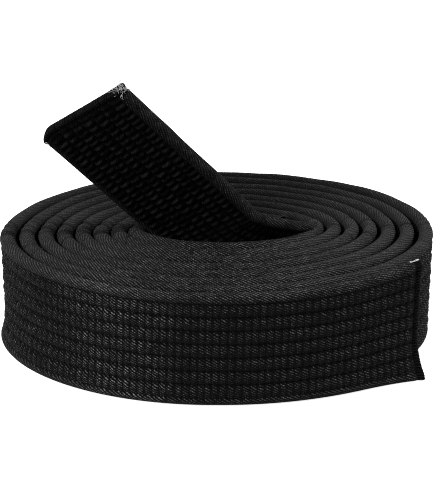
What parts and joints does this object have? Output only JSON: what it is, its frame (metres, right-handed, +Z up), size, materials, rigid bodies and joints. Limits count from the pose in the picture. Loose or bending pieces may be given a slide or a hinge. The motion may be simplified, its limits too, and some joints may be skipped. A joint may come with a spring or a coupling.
{
  "type": "martial arts belt",
  "caption": "Quilted black cotton martial arts belt rolled into an oval coil on its edge, with the inner end raised out of the middle and the outer end laid along the front.",
  "frame": {"origin": "on the surface that the coil stands on, under the middle of the object's box", "axes": "+Z up, +X along the oval coil's long side towards the end where the outer end lies, +Y to the back"},
  "size_m": [0.1478, 0.1052, 0.0994],
  "materials": {
    "cover": "matt black cotton twill",
    "core": "undyed cotton interlining",
    "stitch_thread": "black sewing thread",
    "seam_thread": "black overcast thread, slightly frayed"
  },
  "bodies": {
    "coil": {"cover_coil": "cover", "interlining_a_coil": "core", "interlining_b_coil": "core", "interlining_c_coil": "core", "stitch_row_1_coil": "stitch_thread", "stitch_row_2_coil": "stitch_thread", "stitch_row_3_coil": "stitch_thread", "stitch_row_4_coil": "stitch_thread", "stitch_row_5_coil": "stitch_thread", "stitch_row_6_coil": "stitch_thread", "stitch_row_7_coil": "stitch_thread", "stitch_row_8_coil": "stitch_thread", "cover_bend": "cover"},
    "outer_end": {"cover_outer_end": "cover", "interlining_a_outer_end": "core", "interlining_b_outer_end": "core", "interlining_c_outer_end": "core", "stitch_row_1_outer_end": "stitch_thread", "stitch_row_2_outer_end": "stitch_thread", "stitch_row_3_outer_end": "stitch_thread", "stitch_row_4_outer_end": "stitch_thread", "stitch_row_5_outer_end": "stitch_thread", "stitch_row_6_outer_end": "stitch_thread", "stitch_row_7_outer_end": "stitch_thread", "stitch_row_8_outer_end": "stitch_thread", "end_seam_outer": "seam_thread"},
    "inner_end": {"cover_inner_end": "cover", "interlining_a_inner_end": "core", "interlining_b_inner_end": "core", "interlining_c_inner_end": "core", "stitch_row_1_inner_end": "stitch_thread", "stitch_row_2_inner_end": "stitch_thread", "stitch_row_3_inner_end": "stitch_thread", "stitch_row_4_inner_end": "stitch_thread", "stitch_row_5_inner_end": "stitch_thread", "stitch_row_6_inner_end": "stitch_thread", "stitch_row_7_inner_end": "stitch_thread", "stitch_row_8_inner_end": "stitch_thread", "end_seam_inner": "seam_thread"}
  },
  "joints": [
    {"name": "outer_end_peel", "type": "hinge", "parent": "coil", "child": "outer_end", "pos_m": [0.03007, -0.04906, 0.02], "axis": [0, 0, -1], "range_deg": [-2.5, 70], "stiffness_Nm_per_rad": 0.05},
    {"name": "inner_end_bend", "type": "hinge", "parent": "coil", "child": "inner_end", "pos_m": [-0.01277, -0.00746, 0.05131], "axis": [0.6827, -0.4634, 0.565], "range_deg": [-10, 35], "stiffness_Nm_per_rad": 0.2}
  ]
}
